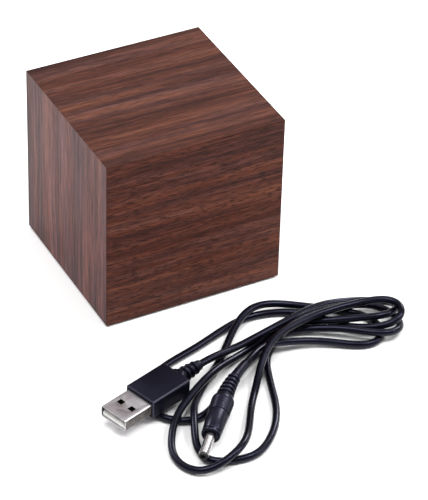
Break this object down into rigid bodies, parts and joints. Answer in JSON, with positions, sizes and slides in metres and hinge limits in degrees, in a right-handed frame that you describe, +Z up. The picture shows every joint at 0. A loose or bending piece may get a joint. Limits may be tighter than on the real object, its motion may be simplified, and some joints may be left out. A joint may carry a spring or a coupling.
{
  "type": "carbon dioxide monitor",
  "caption": "Cube desk monitor cased in dark walnut veneer, its readout hidden behind the front, with rear buttons, vents, inlet, battery door and a loose USB power lead.",
  "frame": {"origin": "under the middle of the cube, on the surface that its feet stand on", "axes": "+Z up, -Y out of the front face that shows the readout, +X to the reader's right"},
  "size_m": [0.1246, 0.1556, 0.07],
  "materials": {
    "walnut_veneer": "satin dark walnut foil with straight grain",
    "fibreboard": "raw pressed fibre",
    "foot_rubber": "matte",
    "cover_plastic": "fine spark-eroded texture",
    "button_plastic": "smooth satin",
    "switch_plastic": "moulded",
    "white_plastic": "moulded",
    "circuit_board": "green solder mask",
    "plated_steel": "bright nickel plate",
    "screw_steel": "dark zinc",
    "contact_gold": "gold flash",
    "plug_pvc": "satin moulded PVC",
    "lead_sheath": "satin flexible PVC"
  },
  "bodies": {
    "casing": {"top_panel": "walnut_veneer", "bottom_panel": "walnut_veneer", "left_panel": "walnut_veneer", "right_panel": "walnut_veneer", "front_veneer": "walnut_veneer", "front_panel": "fibreboard", "foot_front_left": "foot_rubber", "foot_front_right": "foot_rubber", "foot_back_left": "foot_rubber", "foot_back_right": "foot_rubber", "back_cover": "cover_plastic", "battery_tray": "cover_plastic", "switch_set": "switch_plastic", "switch_up": "switch_plastic", "switch_down": "switch_plastic", "controller_chip": "switch_plastic", "buzzer": "switch_plastic", "dc_jack_housing": "switch_plastic", "display_mask": "switch_plastic", "display_diffuser": "white_plastic", "display_ribbon": "white_plastic", "co2_sensor_membrane": "white_plastic", "temperature_humidity_sensor": "white_plastic", "usb_insulator": "white_plastic", "display_board": "circuit_board", "main_board": "circuit_board", "co2_sensor_can": "plated_steel", "dc_jack_pin": "plated_steel", "dc_jack_contact": "plated_steel", "usb_shell": "plated_steel", "barrel_sleeve": "plated_steel", "barrel_contact": "plated_steel", "battery_spring_1": "plated_steel", "battery_spring_2": "plated_steel", "battery_spring_3": "plated_steel", "battery_plate_1": "plated_steel", "battery_plate_2": "plated_steel", "battery_plate_3": "plated_steel", "cover_screw_low_left": "screw_steel", "cover_screw_low_right": "screw_steel", "cover_screw_high_left": "screw_steel", "cover_screw_high_right": "screw_steel", "usb_contact_power": "contact_gold", "usb_contact_ground": "contact_gold", "usb_overmold": "plug_pvc", "barrel_overmold": "plug_pvc", "barrel_insulator": "plug_pvc", "lead_cable": "lead_sheath"},
    "button_set_cap": {"button_set": "button_plastic", "plunger_set": "white_plastic"},
    "button_up_cap": {"button_up": "button_plastic", "plunger_up": "white_plastic"},
    "button_down_cap": {"button_down": "button_plastic", "plunger_down": "white_plastic"},
    "battery_door": {"battery_door": "cover_plastic"}
  },
  "joints": [
    {"name": "set_press", "type": "slide", "parent": "casing", "child": "button_set_cap", "axis": [0, -1, 0], "range_m": [0, 0.0005], "stiffness_N_per_m": 500, "springref_m": -0.001},
    {"name": "up_press", "type": "slide", "parent": "casing", "child": "button_up_cap", "axis": [0, -1, 0], "range_m": [0, 0.0005], "stiffness_N_per_m": 500, "springref_m": -0.001},
    {"name": "down_press", "type": "slide", "parent": "casing", "child": "button_down_cap", "axis": [0, -1, 0], "range_m": [0, 0.0005], "stiffness_N_per_m": 500, "springref_m": -0.001},
    {"name": "battery_door_hinge", "type": "hinge", "parent": "casing", "child": "battery_door", "pos_m": [0, 0.0316, 0.013], "axis": [-1, 0, 0], "range_deg": [0, 95]}
  ]
}
